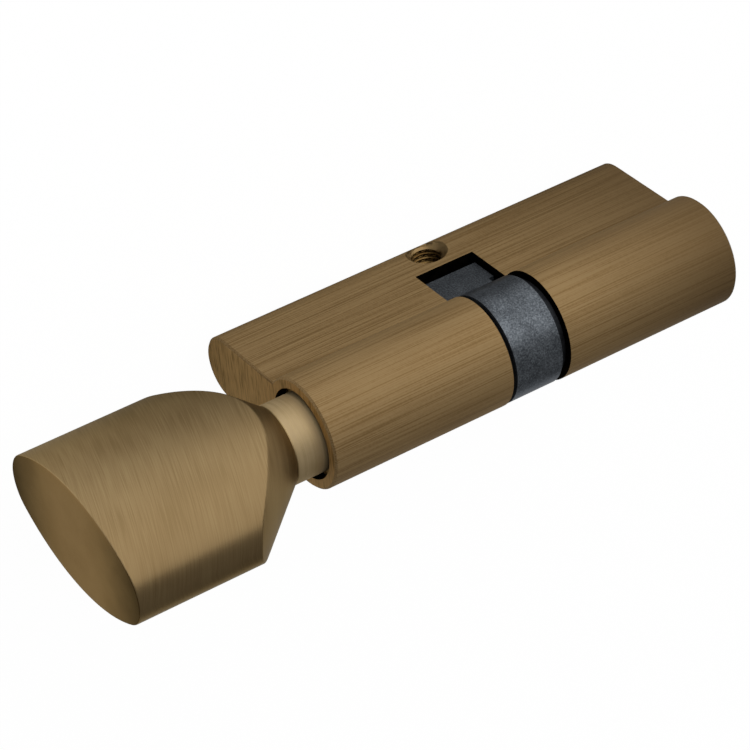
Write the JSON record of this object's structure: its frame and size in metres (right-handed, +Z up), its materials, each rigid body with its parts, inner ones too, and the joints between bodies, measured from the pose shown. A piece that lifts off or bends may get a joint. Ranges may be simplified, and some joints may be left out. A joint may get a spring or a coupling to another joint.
{
  "type": "profile lock cylinder with turn knob",
  "caption": "Profile lock cylinder for a door lock: a keyway at one end, a turn knob at the other, and a slotted middle where the cam throws the bolt.",
  "frame": {"origin": "middle of the fixing screw's hole, half way along the casing", "axes": "+X along the plug's axis towards the key end, +Y along the fixing screw's hole, +Z up from the narrow foot to the round barrel"},
  "size_m": [0.1063, 0.0178, 0.0411],
  "materials": {
    "antique_brass": "satin brushed, darkened",
    "antique_brass_knob": "satin brushed, darkened",
    "turned_brass": "fine turned",
    "pin_brass": "bright turned",
    "sintered_steel": "matt grey, fine grain",
    "hardened_steel": "ground",
    "spring_steel": "drawn",
    "blackened_steel": "blackened"
  },
  "bodies": {
    "case": {"cylinder_body": "antique_brass", "key_plug": "turned_brass", "plug_circlip": "spring_steel", "chamber_plug_1": "turned_brass", "chamber_plug_2": "turned_brass", "chamber_plug_3": "turned_brass", "chamber_plug_4": "turned_brass", "chamber_plug_5": "turned_brass", "pin_spring_1": "spring_steel", "pin_spring_2": "spring_steel", "pin_spring_3": "spring_steel", "pin_spring_4": "spring_steel", "pin_spring_5": "spring_steel"},
    "thumbturn": {"turn_spindle": "turned_brass", "thumbturn_knob": "antique_brass_knob", "knob_grub_screw": "blackened_steel", "turn_circlip": "spring_steel", "coupling_spring": "spring_steel"},
    "cam": {"cam": "sintered_steel"},
    "key_coupling": {"key_coupling": "hardened_steel"},
    "turn_coupling": {"turn_coupling": "hardened_steel"},
    "pin_stack_1": {"key_pin_1": "pin_brass", "driver_pin_1": "pin_brass"},
    "pin_stack_2": {"key_pin_2": "pin_brass", "driver_pin_2": "pin_brass"},
    "pin_stack_3": {"key_pin_3": "pin_brass", "driver_pin_3": "pin_brass"},
    "pin_stack_4": {"key_pin_4": "pin_brass", "driver_pin_4": "pin_brass"},
    "pin_stack_5": {"key_pin_5": "pin_brass", "driver_pin_5": "pin_brass"}
  },
  "joints": [
    {"name": "thumbturn_turn", "type": "hinge", "parent": "case", "child": "thumbturn", "pos_m": [0, 0, 0.0196], "axis": [1, 0, 0], "continuous": true},
    {"name": "cam_turn", "type": "hinge", "parent": "case", "child": "cam", "pos_m": [0, 0, 0.0196], "axis": [1, 0, 0], "continuous": true},
    {"name": "key_coupling_slide", "type": "slide", "parent": "case", "child": "key_coupling", "axis": [-1, 0, 0], "range_m": [0, 0.0025], "stiffness_N_per_m": 200, "springref_m": -0.004},
    {"name": "turn_coupling_slide", "type": "slide", "parent": "thumbturn", "child": "turn_coupling", "axis": [-1, 0, 0], "range_m": [0, 0.0025], "deforming": ["coupling_spring"]},
    {"name": "pin_1_slide", "type": "slide", "parent": "case", "child": "pin_stack_1", "axis": [0, 0, -1], "range_m": [0, 0.0032], "stiffness_N_per_m": 200, "springref_m": -0.004, "deforming": ["pin_spring_1"]},
    {"name": "pin_2_slide", "type": "slide", "parent": "case", "child": "pin_stack_2", "axis": [0, 0, -1], "range_m": [0, 0.0032], "stiffness_N_per_m": 200, "springref_m": -0.004, "deforming": ["pin_spring_2"]},
    {"name": "pin_3_slide", "type": "slide", "parent": "case", "child": "pin_stack_3", "axis": [0, 0, -1], "range_m": [0, 0.0032], "stiffness_N_per_m": 200, "springref_m": -0.004, "deforming": ["pin_spring_3"]},
    {"name": "pin_4_slide", "type": "slide", "parent": "case", "child": "pin_stack_4", "axis": [0, 0, -1], "range_m": [0, 0.0032], "stiffness_N_per_m": 200, "springref_m": -0.004, "deforming": ["pin_spring_4"]},
    {"name": "pin_5_slide", "type": "slide", "parent": "case", "child": "pin_stack_5", "axis": [0, 0, -1], "range_m": [0, 0.0032], "stiffness_N_per_m": 200, "springref_m": -0.004, "deforming": ["pin_spring_5"]}
  ],
  "couplings": [
    {"joint": "cam_turn", "follows": "thumbturn_turn", "ratio": 1},
    {"joint": "turn_coupling_slide", "follows": "key_coupling_slide", "ratio": 1}
  ]
}
